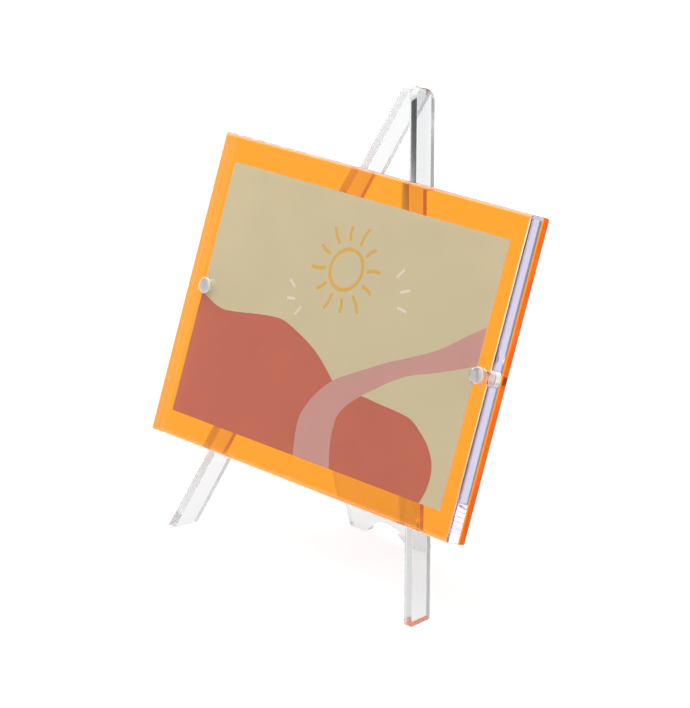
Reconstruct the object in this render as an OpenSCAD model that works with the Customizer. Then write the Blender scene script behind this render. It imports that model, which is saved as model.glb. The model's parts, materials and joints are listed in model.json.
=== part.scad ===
// Magnetic acrylic photo frame on a small clear easel.
// X runs along the frame's width, Y points to the rear, Z is up and the feet stand on Z = 0.

/* [Photo] */
// Width of the print
photo_w = 152.4; // [120:0.1:190]
// Height of the print
photo_h = 101.6; // [80:0.1:125]
// Thickness of the print
photo_t = 0.25; // [0.2:0.05:0.4]
// Play between the print and each face beside it
photo_play = 0.05; // [0.05:0.01:0.1]
// How far the loose print lies to the right of the frame's middle
photo_aside = -2; // [-3:0.1:3]
// How far the loose print lies above the frame's middle
photo_above = -0.6; // [-3:0.1:3]

/* [Frame] */
// Margin of the frame beyond each side of the print
margin_side = 8.8; // [7:0.1:15]
// Margin of the frame above and below the print
margin_top = 10.2; // [5:0.1:15]
// Thickness of the clear front block
block_t = 6; // [5:0.1:10]
// Thickness of the fluorescent back panel
panel_t = 2.7; // [2.4:0.1:5]
// Rounding of the front block's polished front edges
block_round = 1.6; // [0.5:0.1:2.5]
// Rounding of the frame's four corners, seen from the front
corner_round = 0.8; // [0.3:0.1:3]
// Height of the frame's lower edge above the floor, measured up the slope
frame_v = 35.3; // [28:0.1:45]

/* [Magnets] */
// Diameter of each disc magnet
magnet_d = 6.4; // [5:0.1:8]
// Height of the magnets in the front block
block_magnet_h = 3; // [2:0.1:4]
// Height of the magnets in the back panel
panel_magnet_h = 1.8; // [1:0.1:2]
// Distance from the frame's side edge to a magnet's centre
magnet_inset = 8.5; // [6:0.1:10]
// Radial gap round a magnet in its pocket
magnet_clear = 0.05; // [0.02:0.01:0.1]

/* [Easel] */
// Height of the easel, measured up the slope
easel_h = 192.5; // [160:0.5:240]
// Clear distance between the legs at the floor
foot_gap = 132; // [105:0.5:165]
// Backward lean of the frame and its two front legs, in degrees
lean_angle = 19.7; // [16:0.1:24]
// Thickness of a leg, seen from the front
leg_t = 4; // [3:0.1:6]
// Depth of a leg, front to back
leg_d = 10; // [9.5:0.1:14]
// Length of the bonded mitre where the legs meet
apex_bond = 2.2; // [1.5:0.1:5]
// Rounding of the legs' top ends, seen from the side
leg_round = 4; // [1:0.1:4.5]

/* [Rear strut] */
// Height of the strut's hinge, measured up the slope
hinge_v = 80; // [64:0.5:98]
// Width of the strut
strut_w = 43; // [32:0.1:55]
// Thickness of the strut
strut_t = 4; // [3:0.1:5]
// Backward slope of the strut on its way down, in degrees from upright
strut_slope = 13; // [9:0.1:18]
// Rounding of the strut's corners
strut_round = 3; // [1:0.1:4]
// Width of the arch between the strut's two feet
arch_w = 25; // [18:0.1:26]
// Height of the arch's crown
arch_h = 7; // [5:0.1:9]
// Diameter of the hinge rod
rod_d = 4; // [3:0.1:5]
// Radial running clearance of the hinge lugs on the rod
rod_clear = 0.05; // [0.02:0.01:0.1]
// Wall of a hinge lug round its bore
lug_wall = 2.45; // [2:0.05:3]
// Width of a hinge lug
lug_w = 8; // [5:0.5:12]
// Gap between the hinge lugs and the back panel
lug_gap = 0.5; // [0.3:0.1:1]
// Gap between the strut's tail and the back panel when the strut is open
stop_gap = 0.02; // [0.01:0.01:0.05]

/* [Hidden] */

$fn = 64;
// Half the size of the blocks that trim other shapes
far = 400;
// How far a cutting shape runs past the face that it opens
overcut = 1;
clear_acrylic = [0.9, 0.94, 0.95, 0.4];
clear_block = [1, 0.97, 0.93, 0.3];
orange_acrylic = [1, 0.6, 0.15, 0.7];
nickel = [0.8, 0.79, 0.78];
khaki = [0.82, 0.76, 0.6];

// Frame plate, in the slope's own axes: X width, Y depth (0 is the panel's back), Z up the slope
frame_w = photo_w + 2 * margin_side;
frame_h = photo_h + 2 * margin_top;
photo_gap = photo_t + 2 * photo_play;
block_back = -(panel_t + photo_gap);
block_front = block_back - block_t;
magnet_x = frame_w / 2 - magnet_inset;
magnet_v = frame_v + frame_h / 2;
pocket_d = magnet_d + 2 * magnet_clear;

// Legs: their inner faces start at the apex, mitre_v up the slope, and run out to the floor
mitre_v = easel_h - apex_bond;
splay = atan(foot_gap / 2 / mitre_v);

// Strut: the lugs are round in front and flat where they are bonded to the plate
lug_r = rod_d / 2 + rod_clear + lug_wall;
hinge_n = lug_r + lug_gap;
open_angle = lean_angle + strut_slope;
strut_tail = (hinge_n + lug_r * cos(open_angle) - stop_gap) / sin(open_angle);
hinge_y = hinge_v * sin(lean_angle) + hinge_n * cos(lean_angle);
hinge_z = hinge_v * cos(lean_angle) - hinge_n * sin(lean_angle);
lug_x = strut_w / 2 - lug_w / 2;
strut_back = lug_r + strut_t;
strut_drop = (hinge_z + strut_back * sin(strut_slope)) / cos(strut_slope);
arch_r = (arch_w * arch_w / 4 + arch_h * arch_h) / (2 * arch_h);

// The floor under the middle of the whole object is the origin
block_low_y = (frame_v + block_round) * sin(lean_angle)
    + (block_front + block_round) * cos(lean_angle) - block_round;
leg_top_y = (easel_h - leg_round) * sin(lean_angle)
    + (leg_d - leg_round) * cos(lean_angle) + leg_round;
strut_foot_y = hinge_y + (strut_back + hinge_z * sin(strut_slope)) / cos(strut_slope);
front_y = min(0, block_low_y);
rear_y = max(leg_top_y, strut_foot_y);
centre_y = (front_y + rear_y) / 2;

// Stands what is drawn upright on the slope of the easel
module leaning() {
    translate([0, -centre_y, 0])
        rotate([-lean_angle, 0, 0])
            children();
}

// Cuts away whatever reaches below the floor
module on_floor() {
    difference() {
        children();
        translate([-far, -far, -far])
            cube([2 * far, 2 * far, far]);
    }
}

// Flat plate with rounded corners, drawn in X and Y from the lower left corner
module rounded_plate(w, h, r) {
    translate([r, 0])
        square([w - 2 * r, h]);
    translate([0, r])
        square([w, h - 2 * r]);
    for (x = [r, w - r], y = [r, h - r])
        translate([x, y])
            circle(r);
}

// Bar section along its width, with the two corners at Y = 0 rounded
module round_fronted(w, d, r) {
    translate([0, r])
        square([w, d - r]);
    translate([r, 0])
        square([w - 2 * r, d]);
    for (x = [r, w - r])
        translate([x, r])
            circle(r);
}

// Stands a flat outline up on its lower edge, with its thickness running to the rear
module upright(t) {
    translate([0, t, 0])
        rotate([90, 0, 0])
            linear_extrude(t)
                children();
}

// One disc magnet, or its pocket, with its axis along the depth
module disc(side, d, from_y, h) {
    translate([side * magnet_x, from_y, magnet_v])
        rotate([-90, 0, 0])
            cylinder(d = d, h = h);
}

module front_block() {
    color(clear_block)
        leaning()
            difference() {
                translate([-frame_w / 2, block_front, frame_v])
                    intersection() {
                        upright(block_t)
                            rounded_plate(frame_w, frame_h, corner_round);
                        linear_extrude(frame_h)
                            round_fronted(frame_w, block_t, block_round);
                        rotate([90, 0, 90])
                            linear_extrude(frame_w)
                                mirror([1, -1, 0])
                                    round_fronted(frame_h, block_t, block_round);
                    }
                for (side = [-1, 1])
                    disc(side, pocket_d, block_back - block_magnet_h, block_magnet_h + overcut);
            }
}

module back_panel() {
    color(orange_acrylic)
        leaning()
            difference() {
                translate([-frame_w / 2, -panel_t, frame_v])
                    upright(panel_t)
                        rounded_plate(frame_w, frame_h, corner_round);
                for (side = [-1, 1])
                    disc(side, pocket_d, -panel_t - overcut, panel_magnet_h + overcut);
            }
}

module photo_print() {
    color(khaki)
        leaning()
            translate([
                photo_aside - photo_w / 2,
                block_back + photo_play,
                frame_v + (frame_h - photo_h) / 2 + photo_above
            ])
                cube([photo_w, photo_t, photo_h]);
}

module block_magnet(side) {
    color(nickel)
        leaning()
            disc(side, magnet_d, block_back - block_magnet_h, block_magnet_h);
}

module panel_magnet(side) {
    color(nickel)
        leaning()
            disc(side, magnet_d, -panel_t, panel_magnet_h);
}

// Leg bar on edge: splayed in the slope, mitred against the other leg and cut level at the floor
module leg(side) {
    color(clear_acrylic)
        on_floor()
            leaning()
                mirror([side < 0 ? 1 : 0, 0, 0])
                    intersection() {
                        translate([0, 0, mitre_v])
                            rotate([0, -splay, 0])
                                translate([0, 0, -far])
                                    cube([leg_t, leg_d, 2 * far]);
                        translate([0, 0, -far])
                            rotate([90, 0, 90])
                                linear_extrude(far)
                                    rounded_plate(leg_d, far + easel_h, leg_round);
                    }
}

// Hinge rod, bonded between the legs, with its ends cut to the legs' splay
module hinge_rod() {
    color(clear_acrylic)
        leaning()
            intersection() {
                translate([-foot_gap / 2, hinge_n, hinge_v])
                    rotate([0, 90, 0])
                        cylinder(d = rod_d, h = foot_gap);
                upright(leg_d)
                    polygon([[-foot_gap / 2, 0], [foot_gap / 2, 0], [0, mitre_v]]);
            }
}

// Puts the hinge axis at the origin, with the strut's plate upright behind it
module on_hinge() {
    translate([0, hinge_y - centre_y, hinge_z])
        rotate([strut_slope, 0, 0])
            children();
}

// Plate behind the hinge, with an arch between its two feet and a tail above the hinge
module rear_strut() {
    color(clear_acrylic)
        on_floor()
            on_hinge()
                difference() {
                    translate([-strut_w / 2, lug_r, -strut_drop])
                        upright(strut_t)
                            rounded_plate(strut_w, strut_drop + strut_tail, strut_round);
                    translate([0, lug_r - overcut, -strut_drop + arch_h - arch_r])
                        rotate([-90, 0, 0])
                            cylinder(r = arch_r, h = strut_t + 2 * overcut);
                }
}

// Bearing block on the plate's front face: round in front, flat behind, bored for the rod
module strut_lug(side) {
    color(clear_acrylic)
        on_hinge()
            translate([side * lug_x - lug_w / 2, 0, 0])
                rotate([90, 0, 90])
                    linear_extrude(lug_w)
                        difference() {
                            union() {
                                circle(lug_r);
                                translate([0, -lug_r])
                                    square([lug_r, 2 * lug_r]);
                            }
                            circle(d = rod_d + 2 * rod_clear);
                        }
}

back_panel();
front_block();
photo_print();
block_magnet(-1);  // block_magnet_left
block_magnet(1);  // block_magnet_right
panel_magnet(-1);  // panel_magnet_left
panel_magnet(1);  // panel_magnet_right
leg(-1);  // left_leg
leg(1);  // right_leg
hinge_rod();
rear_strut();
strut_lug(-1);  // strut_lug_left
strut_lug(1);  // strut_lug_right
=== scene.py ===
"""A magnetic picture frame, a clear block against an orange panel, on a small clear easel."""
import json
from math import cos, pi, radians, sin

import bmesh
import bpy
from mathutils import Matrix, Vector
from mathutils.geometry import delaunay_2d_cdt


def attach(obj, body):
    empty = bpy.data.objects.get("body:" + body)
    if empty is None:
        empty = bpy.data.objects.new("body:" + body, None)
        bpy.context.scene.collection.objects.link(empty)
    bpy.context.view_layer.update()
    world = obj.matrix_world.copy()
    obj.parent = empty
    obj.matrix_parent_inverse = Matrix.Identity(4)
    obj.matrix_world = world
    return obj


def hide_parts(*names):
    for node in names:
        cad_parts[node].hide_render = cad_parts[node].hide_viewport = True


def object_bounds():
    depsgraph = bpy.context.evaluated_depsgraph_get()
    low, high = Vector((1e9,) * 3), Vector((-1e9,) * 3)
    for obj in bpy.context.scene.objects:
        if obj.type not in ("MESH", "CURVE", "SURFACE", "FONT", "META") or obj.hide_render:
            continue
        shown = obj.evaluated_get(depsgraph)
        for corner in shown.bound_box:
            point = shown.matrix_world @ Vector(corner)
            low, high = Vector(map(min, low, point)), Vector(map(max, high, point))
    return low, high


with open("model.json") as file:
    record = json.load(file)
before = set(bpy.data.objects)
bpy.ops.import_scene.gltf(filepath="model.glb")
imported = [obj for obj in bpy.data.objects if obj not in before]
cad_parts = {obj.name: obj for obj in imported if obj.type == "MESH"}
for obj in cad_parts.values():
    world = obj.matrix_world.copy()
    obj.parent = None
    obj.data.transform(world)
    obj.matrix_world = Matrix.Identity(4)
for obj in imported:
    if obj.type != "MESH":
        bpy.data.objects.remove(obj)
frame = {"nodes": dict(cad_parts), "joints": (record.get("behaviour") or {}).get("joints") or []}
cad_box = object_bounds()
MM = 0.001

# The slope of the easel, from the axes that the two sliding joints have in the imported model.
AXES = {joint["name"]: Vector(joint["axis"]) for joint in frame["joints"]}
RIGHT = Vector((1, 0, 0))
UP = AXES["photo_slide"]
OUT = AXES["block_pull"]
SLOPE = Matrix((RIGHT, UP, OUT)).transposed()


def slope_box(node):
    """The lowest and highest corner of a CAD node along RIGHT, UP and OUT."""
    points = [SLOPE.transposed() @ v.co for v in frame["nodes"][node].data.vertices]
    low = Vector([min(p[i] for p in points) for i in range(3)])
    high = Vector([max(p[i] for p in points) for i in range(3)])
    return low, high


# ---------------------------------------------------------------- materials

def linear(red, green, blue):
    """An sRGB colour, 0 to 255, as the linear colour that a shader takes."""
    def channel(value):
        value /= 255
        return value / 12.92 if value <= 0.04045 else ((value + 0.055) / 1.055) ** 2.4
    return channel(red), channel(green), channel(blue), 1.0


def new_material(name, **inputs):
    """A Principled material with constant socket values, and its tree and shader."""
    material = bpy.data.materials.new(name)
    material.use_nodes = True
    tree = material.node_tree
    shader = tree.nodes["Principled BSDF"]
    for socket, value in inputs.items():
        shader.inputs[socket.replace("_", " ")].default_value = value
    return material, tree, shader


def object_coordinates(tree, scale=(1, 1, 1)):
    """The piece's own coordinates in metres, stretched by scale."""
    coordinates = tree.nodes.new("ShaderNodeTexCoord")
    mapping = tree.nodes.new("ShaderNodeMapping")
    mapping.inputs["Scale"].default_value = scale
    tree.links.new(coordinates.outputs["Object"], mapping.inputs["Vector"])
    return mapping.outputs["Vector"]


def noise(tree, vector, scale, detail=3.0):
    """A noise texture's value, with its grain given per metre."""
    node = tree.nodes.new("ShaderNodeTexNoise")
    node.inputs["Scale"].default_value = scale
    node.inputs["Detail"].default_value = detail
    tree.links.new(vector, node.inputs["Vector"])
    return node.outputs["Fac"]


def map_range(tree, value, low, high, new_low, new_high):
    """value taken from one range to another, held at both ends."""
    node = tree.nodes.new("ShaderNodeMapRange")
    node.inputs["From Min"].default_value = low
    node.inputs["From Max"].default_value = high
    node.inputs["To Min"].default_value = new_low
    node.inputs["To Max"].default_value = new_high
    tree.links.new(value, node.inputs["Value"])
    return node.outputs["Result"]


def colour_ramp(tree, value, *stops):
    """value as a colour, from (position, colour) stops."""
    node = tree.nodes.new("ShaderNodeValToRGB")
    elements = node.color_ramp.elements
    while len(elements) < len(stops):
        elements.new(0.5)
    for element, (position, colour) in zip(elements, stops):
        element.position = position
        element.color = colour
    tree.links.new(value, node.inputs["Fac"])
    return node.outputs["Color"]


def add_bump(tree, shader, height, strength, distance):
    """Bumps the shader's surface by height."""
    node = tree.nodes.new("ShaderNodeBump")
    node.inputs["Strength"].default_value = strength
    node.inputs["Distance"].default_value = distance
    tree.links.new(height, node.inputs["Height"])
    tree.links.new(node.outputs["Normal"], shader.inputs["Normal"])


def let_light_through(tree, shader, colour):
    """Lets lamps and sky light pass the acrylic, tinted, instead of casting a solid shadow."""
    path = tree.nodes.new("ShaderNodeLightPath")
    clear = tree.nodes.new("ShaderNodeBsdfTransparent")
    clear.inputs["Color"].default_value = colour
    mix = tree.nodes.new("ShaderNodeMixShader")
    tree.links.new(path.outputs["Is Shadow Ray"], mix.inputs["Fac"])
    tree.links.new(shader.outputs["BSDF"], mix.inputs[1])
    tree.links.new(clear.outputs["BSDF"], mix.inputs[2])
    output = tree.nodes["Material Output"]
    tree.links.new(mix.outputs["Shader"], output.inputs["Surface"])


# A texture's grain is how many of its waves fit in a metre, along X, Y and Z where they differ.
ACRYLIC_IOR = 1.49
SMUDGE_GRAIN = 45.0
CUT_MARK_GRAIN = (3000, 60, 60)
CUT_MARK_DEPTH = 0.04 * MM
SHADOW_HAZE = 0.06


def acrylic(name, colour, painted_glow=None, painted_glow_strength=0.0, gloss=None, deep=None, depth=0.0,
            polish=0.02, haze=0.03, cut_marks=0.0, frost=0.0):
    """Cast acrylic: clear or dyed, with faint smudges, and fine cut marks on a sawn edge.

    The glow argument is painted light, emission standing in for a fluorescent dye's light; gloss
    tints the reflections, deep is the colour that a long way through the sheet takes on, and frost is
    the part that a cut surface scatters.
    """
    material, tree, shader = new_material(
        name, Base_Color=colour, Transmission_Weight=1.0 - frost, IOR=ACRYLIC_IOR)
    # Painted light: the dye's fluorescence is emission on the surface, shining without any lamp.
    if painted_glow:
        shader.inputs["Emission Color"].default_value = painted_glow
        shader.inputs["Emission Strength"].default_value = painted_glow_strength
    if gloss:
        shader.inputs["Specular Tint"].default_value = gloss
    if deep:
        absorption = tree.nodes.new("ShaderNodeVolumeAbsorption")
        absorption.inputs["Color"].default_value = deep
        absorption.inputs["Density"].default_value = depth
        output = tree.nodes["Material Output"]
        tree.links.new(absorption.outputs["Volume"], output.inputs["Volume"])
    place = object_coordinates(tree)
    smudges = noise(tree, place, SMUDGE_GRAIN, detail=6.0)
    roughness = map_range(tree, smudges, 0.45, 0.75, polish, polish + haze)
    tree.links.new(roughness, shader.inputs["Roughness"])
    if cut_marks:
        marks = noise(tree, object_coordinates(tree, CUT_MARK_GRAIN), 1.0, detail=2.0)
        add_bump(tree, shader, marks, cut_marks, CUT_MARK_DEPTH)
    red, green, blue = (SHADOW_HAZE + (1 - SHADOW_HAZE) * channel for channel in colour[:3])
    let_light_through(tree, shader, (red, green, blue, 1))
    return material


MOTTLE_GRAIN = 55.0
TOOTH_GRAIN = 4000.0
TOOTH_DEPTH = 0.03 * MM
PLATING_GRAIN = 900.0


def printed_paper(name, colour, shade):
    """Matt photo paper with a solid of ink, faintly mottled, and a fine paper tooth."""
    material, tree, shader = new_material(name, Specular_IOR_Level=0.35)
    place = object_coordinates(tree)
    mottle = noise(tree, place, MOTTLE_GRAIN, detail=8.0)
    ink = colour_ramp(tree, mottle, (0.3, shade), (0.7, colour))
    tree.links.new(ink, shader.inputs["Base Color"])
    tooth = noise(tree, place, TOOTH_GRAIN, detail=2.0)
    rough = map_range(tree, tooth, 0.3, 0.7, 0.5, 0.62)
    tree.links.new(rough, shader.inputs["Roughness"])
    add_bump(tree, shader, tooth, 0.15, TOOTH_DEPTH)
    return material


def nickel(name):
    """Bright nickel plating, softly worn."""
    material, tree, shader = new_material(name, Metallic=1.0)
    place = object_coordinates(tree)
    wear = noise(tree, place, PLATING_GRAIN, detail=5.0)
    tone = colour_ramp(tree, wear, (0.3, linear(240, 235, 233)), (0.75, linear(250, 247, 245)))
    tree.links.new(tone, shader.inputs["Base Color"])
    rough = map_range(tree, wear, 0.3, 0.75, 0.34, 0.42)
    tree.links.new(rough, shader.inputs["Roughness"])
    return material


# The easel's sheet is greyer than the block, so that it shows against the white room.
CLEAR = (0.985, 0.99, 0.99, 1)
CLEAR_SHEET = (0.81, 0.815, 0.82, 1)
ORANGE = linear(255, 158, 0)
ORANGE_EDGE = linear(150, 60, 24)
clear_sheet = acrylic("clear_sheet", CLEAR_SHEET)
clear_edge = acrylic("clear_edge", CLEAR_SHEET, polish=0.20, haze=0.10, cut_marks=0.10)
frosted_edge = acrylic("frosted_edge", CLEAR_SHEET, polish=0.35, haze=0.10, cut_marks=0.08,
                       frost=0.4)
clear_block = acrylic("clear_block", CLEAR, polish=0.0, haze=0.02,
                      deep=(0.17, 0.06, 0.50, 1), depth=3.0)
# The orange sheet's faces and edges get painted light: emission that stands in for its fluorescent
# dye.
orange_face = acrylic("orange_face", ORANGE, painted_glow=linear(255, 130, 0), painted_glow_strength=0.05,
                      gloss=linear(255, 170, 30))
orange_edge = acrylic("orange_edge", ORANGE_EDGE, painted_glow=linear(240, 90, 30),
                      painted_glow_strength=0.07, gloss=linear(255, 170, 60), polish=0.06, cut_marks=0.2)
magnet_nickel = nickel("magnet_nickel")
paper_white = printed_paper("paper_white", linear(244, 242, 238), linear(238, 236, 232))
INKS = {
    "sand": printed_paper("ink_sand", linear(209, 193, 151), linear(204, 188, 147)),
    "clay": printed_paper("ink_clay", linear(196, 94, 62), linear(190, 89, 58)),
    "rose": printed_paper("ink_rose", linear(204, 147, 134), linear(199, 142, 129)),
    "ochre": printed_paper("ink_ochre", linear(222, 172, 66), linear(216, 166, 60)),
    "cream": printed_paper("ink_cream", linear(232, 214, 200), linear(228, 209, 194)),
}


# ---------------------------------------------------------------- pieces

def add_piece(name, mesh, body, nodes, materials):
    """Puts a mesh in the scene as a piece of one body, in place of CAD nodes."""
    piece = bpy.data.objects.new(name, mesh)
    bpy.context.scene.collection.objects.link(piece)
    for material in materials:
        mesh.materials.append(material)
    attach(piece, body)
    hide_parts(*nodes)
    return piece


BY_LARGEST_FACE = 100


def crisp_normals(piece):
    """Keeps flat faces flat and turns the narrow faces between them smoothly."""
    for polygon in piece.data.polygons:
        polygon.use_smooth = True
    modifier = piece.modifiers.new("crisp_normals", "WEIGHTED_NORMAL")
    modifier.weight = BY_LARGEST_FACE
    modifier.keep_sharp = True


SHARP_ANGLE = radians(32)
EVEN_ANGLE = radians(0.1)
WELD_DISTANCE = 1e-7
ARRIS_SEGMENTS = 2


def eased_copy(node, arris):
    """A copy of a CAD node's mesh with its flat faces joined and its sharp edges eased."""
    shape = bmesh.new()
    shape.from_mesh(frame["nodes"][node].data)
    bmesh.ops.remove_doubles(shape, verts=shape.verts, dist=WELD_DISTANCE)
    bmesh.ops.dissolve_limit(shape, angle_limit=EVEN_ANGLE, verts=shape.verts, edges=shape.edges)
    sharp = [edge for edge in shape.edges if edge.calc_face_angle(0) > SHARP_ANGLE]
    bmesh.ops.bevel(shape, geom=sharp, offset=arris, offset_type="OFFSET", affect="EDGES",
                    segments=ARRIS_SEGMENTS, profile=0.5, clamp_overlap=True)
    mesh = bpy.data.meshes.new(node + "_finished")
    shape.to_mesh(mesh)
    shape.free()
    return mesh


FACES_ALIKE = 0.8


def finish_node(node, body, arris, face_material, edge_material=None, inset=0.0):
    """Replaces a CAD node by its eased copy, narrowed so that each side moves in by inset.

    A sawn edge takes the edge material; the sheet's faces and the polished front edge don't.
    """
    mesh = eased_copy(node, arris)
    half_width = max(abs(vertex.co.x) for vertex in mesh.vertices)
    for vertex in mesh.vertices:
        vertex.co.x *= 1 - inset / half_width
    piece = add_piece(node + "_finished", mesh, body, [node],
                      [face_material, edge_material or face_material])
    if edge_material:
        normal = thin_axis(mesh)
        for polygon in mesh.polygons:
            is_sheet_face = abs(polygon.normal @ normal) > FACES_ALIKE
            is_front_edge = polygon.normal @ OUT > FACES_ALIKE
            polygon.material_index = 0 if is_sheet_face or is_front_edge else 1
    crisp_normals(piece)
    return piece


def thin_axis(mesh):
    """The normal of a flat piece's largest face."""
    return max(mesh.polygons, key=lambda polygon: polygon.area).normal.copy()


ARRIS = 0.25 * MM
HAIR_ARRIS = 0.05 * MM
BLOCK_INSET = 0.35 * MM
MAGNET_ARRIS = 0.35 * MM

for side, leg_edge in (("left", frosted_edge), ("right", clear_edge)):
    finish_node(f"{side}_leg", "easel", ARRIS, clear_sheet, leg_edge)
    finish_node(f"strut_lug_{side}", "rear_strut", ARRIS, clear_sheet)
    finish_node(f"block_magnet_{side}", "front_block", MAGNET_ARRIS, magnet_nickel)
    finish_node(f"panel_magnet_{side}", "easel", MAGNET_ARRIS, magnet_nickel)
finish_node("rear_strut", "rear_strut", ARRIS, clear_sheet, clear_edge)
finish_node("hinge_rod", "easel", ARRIS, clear_sheet)
finish_node("back_panel", "easel", HAIR_ARRIS, orange_face, orange_edge)
finish_node("front_block", "front_block", HAIR_ARRIS, clear_block,
            inset=BLOCK_INSET)


# ---------------------------------------------------------------- the print

def smooth_line(points, step=0.8):
    """A curve through points, as points about step apart (Catmull-Rom)."""
    points = [Vector(p) for p in points]
    padded = [points[0] * 2 - points[1]] + points + [points[-1] * 2 - points[-2]]
    line = []
    for before, start, end, after in zip(padded, padded[1:], padded[2:], padded[3:]):
        count = max(1, round((end - start).length / step))
        for i in range(count):
            t = i / count
            line.append(0.5 * (2 * start + (end - before) * t
                               + (2 * before - 5 * start + 4 * end - after) * t ** 2
                               + (3 * start - before - 3 * end + after) * t ** 3))
    return line + [points[-1]]


TIP_PARTS = 6


def brush_stroke(points, width):
    """The outline of a brush stroke with round ends along a curve."""
    line = smooth_line(points, step=0.5)
    left, right = [], []
    for i, point in enumerate(line):
        ahead = line[min(i + 1, len(line) - 1)] - line[max(i - 1, 0)]
        across = Vector((-ahead.y, ahead.x)).normalized() * width / 2
        left.append(point + across)
        right.append(point - across)
    tips = []
    for tip, inner, first in ((line[-1], line[-2], left[-1]), (line[0], line[1], right[0])):
        start = first - tip
        tips.append([tip + Matrix.Rotation(-pi * part / TIP_PARTS, 2) @ start
                     for part in range(1, TIP_PARTS)])
    return left + tips[0] + right[::-1] + tips[1]


def inside(point, outline):
    """True if a point is inside a closed outline."""
    result = False
    for a, b in zip(outline, outline[1:] + outline[:1]):
        if (a.y > point.y) != (b.y > point.y):
            if point.x < a.x + (point.y - a.y) * (b.x - a.x) / (b.y - a.y):
                result = not result
    return result


# Outlines on the print, in millimetres from its middle; the sheet's edges cut them off.
BEYOND = 60
ART_SHIFT = Vector((1.7, 0.3))
far_hill = smooth_line([(-82, -1), (-67, -6), (-58, -6), (-40, -3.5), (-30, -3), (-22, -5),
                        (-13.5, -8), (-7, -11), (0, -15.5), (6, -20), (14, -27)])
near_hill = smooth_line([(10, -23), (21, -21), (31, -21.5), (41, -22), (49, -23), (55, -26),
                         (60.5, -30), (64.5, -35), (66, -40), (65.5, -46), (63, -53)])
ribbon_top = smooth_line([(-4, -56), (-6, -50), (-7.5, -42), (-7.5, -36), (-5, -30), (-1, -24.5),
                          (5, -19), (12, -15), (21, -10.5), (30, -6), (42, -1), (51, 3),
                          (58, 7), (66, 12.5), (74, 17.5), (80, 21)])
ribbon_low = smooth_line([(17, -56), (14, -49), (12, -42), (11.5, -36), (12, -31), (15.5, -26),
                          (21.5, -21), (28, -16.5), (35, -12), (43, -8), (53.5, -4.5),
                          (63.5, -1), (75, 3.5), (81, 6)])
for line in (far_hill, near_hill, ribbon_top, ribbon_low):
    for i, point in enumerate(line):
        line[i] = point + ART_SHIFT
hills = far_hill + [Vector((14, -BEYOND)), Vector((-82, -BEYOND))]
hill_right = near_hill + [Vector((10, -BEYOND))]
ribbon = ribbon_top + ribbon_low[::-1]

SUN_CENTRE = Vector((-1, 23))
SUN_RADIUS = 8.2
SUN_WOBBLE = 0.5
SUN_LINE = 1.5
RAY_START = 11.6
RAY_LENGTHS = (6, 4.5, 6.5, 4.5, 6, 5, 6.5, 4.5, 6, 4.5, 6.5, 5)
RAY_TURN = 8
RAY_BEND = 1.5
RAY_LINE = 1.4
DASH_LINE = 1.1


def sun_point(radius, angle):
    """A point at a distance and a bearing in degrees from the sun's centre."""
    return SUN_CENTRE + Vector((cos(radians(angle)), sin(radians(angle)))) * radius


# One brush line round the sun, not quite round, from just past its top to just short of it.
sun_ring = [sun_point(SUN_RADIUS + SUN_WOBBLE * sin(radians(2 * angle + 40)), angle)
            for angle in range(80, 431, 14)]
strokes = [brush_stroke(sun_ring, SUN_LINE)]
for ray, length in enumerate(RAY_LENGTHS):
    bearing = 360 / len(RAY_LENGTHS) * ray + RAY_TURN
    strokes.append(brush_stroke([sun_point(RAY_START, bearing),
                                 sun_point(RAY_START + length / 2, bearing + RAY_BEND),
                                 sun_point(RAY_START + length, bearing)], RAY_LINE))
dashes = [brush_stroke([start, end], DASH_LINE) for start, end in (
    ((-29, 13), (-26, 11)), ((-28, 6), (-24.5, 6.5)), ((-22, 1), (-20, 4)),
    ((26, 26), (28.5, 29)), ((30, 21), (34, 22.5)), ((30.5, 15), (34.5, 14.5)))]

ART = [("clay", hills), ("clay", hill_right), ("rose", ribbon)]
ART += [("ochre", stroke) for stroke in strokes]
ART += [("cream", dash) for dash in dashes]


def clipped(outline, half_width, half_height):
    """An outline held within the sheet, so that it never runs past its edges."""
    return [Vector((max(-half_width, min(half_width, p.x)), max(-half_height, min(half_height, p.y))))
            for p in outline]


SAME_POINT = 1e-4


def print_mesh(low, high):
    """The print as a thin closed sheet with its art as areas of ink on its front."""
    size = (high - low) / MM
    half_width, half_height = size.x / 2, size.y / 2
    corners = [Vector(p) for p in ((-half_width, -half_height), (half_width, -half_height),
                                   (half_width, half_height), (-half_width, half_height))]
    outlines = [corners] + [clipped(outline, half_width, half_height) for _, outline in ART]
    points, edges = [], []
    for outline in outlines:
        first = len(points)
        points += outline
        edges += [(first + i, first + (i + 1) % len(outline)) for i in range(len(outline))]
    points, _, faces, *_ = delaunay_2d_cdt(points, edges, [], 0, SAME_POINT)
    inks = list(INKS)
    shape = bmesh.new()
    centre = (low + high) / 2
    verts = [shape.verts.new(SLOPE @ Vector((centre.x + p.x * MM, centre.y + p.y * MM, high.z)))
             for p in points]
    for face in faces:
        middle = sum((points[i] for i in face), Vector((0, 0))) / len(face)
        ink = "sand"
        for name, outline in ART:
            if inside(middle, outline):
                ink = name
        shape.faces.new([verts[i] for i in face]).material_index = 1 + inks.index(ink)
    front = list(shape.faces)
    shape.normal_update()
    if front[0].normal @ OUT < 0:
        bmesh.ops.reverse_faces(shape, faces=front)
    back = bmesh.ops.extrude_face_region(shape, geom=front, use_keep_orig=True)["geom"]
    moved = [item for item in back if isinstance(item, bmesh.types.BMVert)]
    bmesh.ops.translate(shape, verts=moved, vec=OUT * (low.z - high.z))
    for face in shape.faces:
        if face not in front:
            face.material_index = 0
    bmesh.ops.recalc_face_normals(shape, faces=shape.faces)
    mesh = bpy.data.meshes.new("photo_print_finished")
    shape.to_mesh(mesh)
    shape.free()
    return mesh


print_piece = add_piece("photo_print_finished", print_mesh(*slope_box("photo_print")), "photo",
                        ["photo_print"], [paper_white, *INKS.values()])


# ---------------------------------------------------------------- studio

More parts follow.
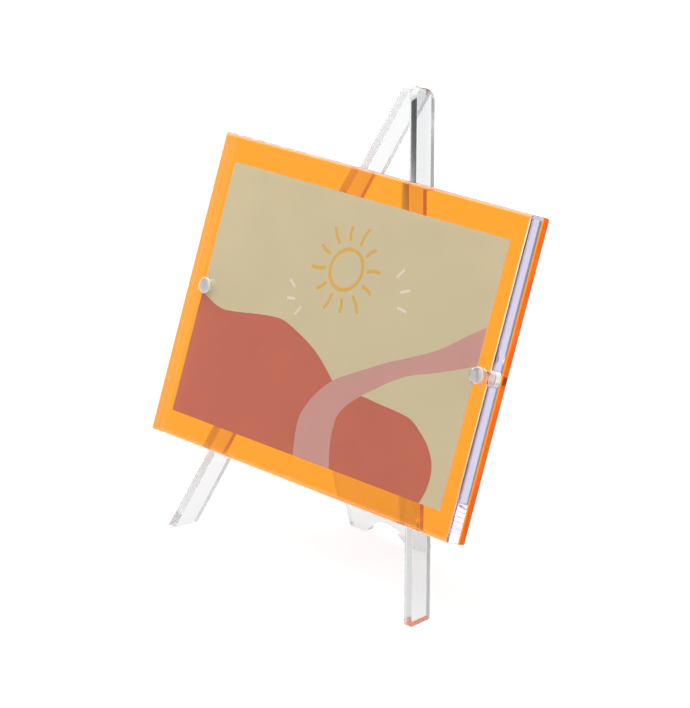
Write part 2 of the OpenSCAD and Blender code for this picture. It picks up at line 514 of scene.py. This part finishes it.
FLOOR_SIZE = 6.0
FLOOR_GREY = (0.26, 0.26, 0.26, 1)
FLOOR_GLOW = 0.76
FLOOR_DROP = 0.2 * MM
floor_mesh = bpy.data.meshes.new("studio_floor")
half = FLOOR_SIZE / 2
floor_mesh.from_pydata([(-half, -half, 0), (half, -half, 0), (half, half, 0), (-half, half, 0)],
                       [], [(0, 1, 2, 3)])
floor = bpy.data.objects.new("studio_floor", floor_mesh)
bpy.context.scene.collection.objects.link(floor)
floor_material, _, _ = new_material(
    "floor_white", Base_Color=FLOOR_GREY, Roughness=0.9, Specular_IOR_Level=0.0,
    Emission_Color=(1, 1, 1, 1), Emission_Strength=FLOOR_GLOW)
floor_mesh.materials.append(floor_material)
floor.location.z = -FLOOR_DROP

CENTRE = (Vector(cad_box[0]) + Vector(cad_box[1])) / 2
AZIMUTH = radians(47.63)
ELEVATION = radians(17.99)
DISTANCE = 1.157
ASIDE = -0.0040
ABOVE = -0.0092
LENS = 154.5
SENSOR_WIDTH = 36.0
towards_camera = Vector((sin(AZIMUTH) * cos(ELEVATION), -cos(AZIMUTH) * cos(ELEVATION),
                         sin(ELEVATION)))
camera_right = Vector((cos(AZIMUTH), sin(AZIMUTH), 0))
camera_up = towards_camera.cross(camera_right)
aim = CENTRE + camera_right * ASIDE + camera_up * ABOVE
camera_data = bpy.data.cameras.new("camera")
camera_data.lens = LENS
camera_data.sensor_width = SENSOR_WIDTH
camera = bpy.data.objects.new("camera", camera_data)
camera.location = aim + towards_camera * DISTANCE
camera.rotation_euler = towards_camera.to_track_quat("Z", "Y").to_euler()
bpy.context.scene.collection.objects.link(camera)
bpy.context.scene.camera = camera


def softbox(name, place, size, power):
    """A square area lamp that looks at the object."""
    lamp_data = bpy.data.lights.new(name, "AREA")
    lamp_data.shape = "SQUARE"
    lamp_data.size = size
    lamp_data.energy = power
    lamp = bpy.data.objects.new(name, lamp_data)
    lamp.location = place
    lamp.rotation_euler = (Vector(place) - CENTRE).to_track_quat("Z", "Y").to_euler()
    bpy.context.scene.collection.objects.link(lamp)


softbox("softbox_top", (-0.3, -0.2, 1.6), 1.4, 12)
softbox("softbox_left", (-1.4, 0.05, 0.95), 2.0, 17)

# A black flag behind the object, which no camera sees. The clear edges near the apex mirror it.
# Its cloth thins out from FLAG_SOLID down to FLAG_LOW.
FLAG_LOW, FLAG_SOLID, FLAG_HIGH = 0.209, 0.226, 0.42
FLAG_WIDTH = 0.34
FLAG_PLACE = Vector((0.30, 0.41, 0))
FLAG_RUN = Vector((0.79, -0.60, 0)).normalized()
flag_side = FLAG_RUN * FLAG_WIDTH / 2
flag_mesh = bpy.data.meshes.new("studio_flag")
flag_mesh.from_pydata(
    [FLAG_PLACE + flag_side * sign + Vector((0, 0, height))
     for sign, height in ((-1, FLAG_LOW), (1, FLAG_LOW), (1, FLAG_HIGH), (-1, FLAG_HIGH))],
    [], [(0, 1, 2, 3)])
flag = bpy.data.objects.new("studio_flag", flag_mesh)
bpy.context.scene.collection.objects.link(flag)
flag_material, flag_tree, flag_shader = new_material(
    "flag_black", Base_Color=(0.02, 0.021, 0.022, 1), Roughness=1.0, Specular_IOR_Level=0.0)
flag_axes = flag_tree.nodes.new("ShaderNodeSeparateXYZ")
flag_tree.links.new(object_coordinates(flag_tree), flag_axes.inputs["Vector"])
cloth = map_range(flag_tree, flag_axes.outputs["Z"], FLAG_LOW, FLAG_SOLID, 0.0, 1.0)
flag_tree.links.new(cloth, flag_shader.inputs["Alpha"])
flag_mesh.materials.append(flag_material)
flag.visible_camera = False
flag.visible_diffuse = False
flag.visible_shadow = False

LIGHT_BOUNCES = 32

# The room: white, with darker parts near the horizon that give the clear edges their lines. They
# are seen only in and through the acrylic, never as the background.
# Each is a direction, the cosines where it begins and where it is full, and its level there.
DARK_LOBES = (
    ((0.60, 0.79, 0.10), 0.80, 0.95, 0.85),
    ((-0.70, -0.69, 0.15), 0.90, 0.98, 0.42),
)
world = bpy.data.worlds.new("studio_room")
bpy.context.scene.world = world
world.use_nodes = True
room = world.node_tree
sky = room.nodes["Background"]
sky.inputs["Strength"].default_value = 1.0
direction = room.nodes.new("ShaderNodeTexCoord").outputs["Generated"]
level = None
for lobe, start, full, darkness in DARK_LOBES:
    dot = room.nodes.new("ShaderNodeVectorMath")
    dot.operation = "DOT_PRODUCT"
    dot.inputs[1].default_value = Vector(lobe).normalized()
    room.links.new(direction, dot.inputs[0])
    part = map_range(room, dot.outputs["Value"], start, full, 1.0, darkness)
    if level is None:
        level = part
    else:
        product = room.nodes.new("ShaderNodeMath")
        product.operation = "MULTIPLY"
        room.links.new(level, product.inputs[0])
        room.links.new(part, product.inputs[1])
        level = product.outputs["Value"]
backdrop = room.nodes.new("ShaderNodeMath")
backdrop.operation = "MAXIMUM"
room.links.new(level, backdrop.inputs[0])
room.links.new(room.nodes.new("ShaderNodeLightPath").outputs["Is Camera Ray"], backdrop.inputs[1])
room.links.new(backdrop.outputs["Value"], sky.inputs["Color"])

bpy.context.scene.view_settings.view_transform = "Standard"
bpy.context.scene.cycles.max_bounces = LIGHT_BOUNCES
bpy.context.scene.cycles.transmission_bounces = LIGHT_BOUNCES
bpy.context.scene.cycles.glossy_bounces = LIGHT_BOUNCES
bpy.context.scene.cycles.transparent_max_bounces = LIGHT_BOUNCES
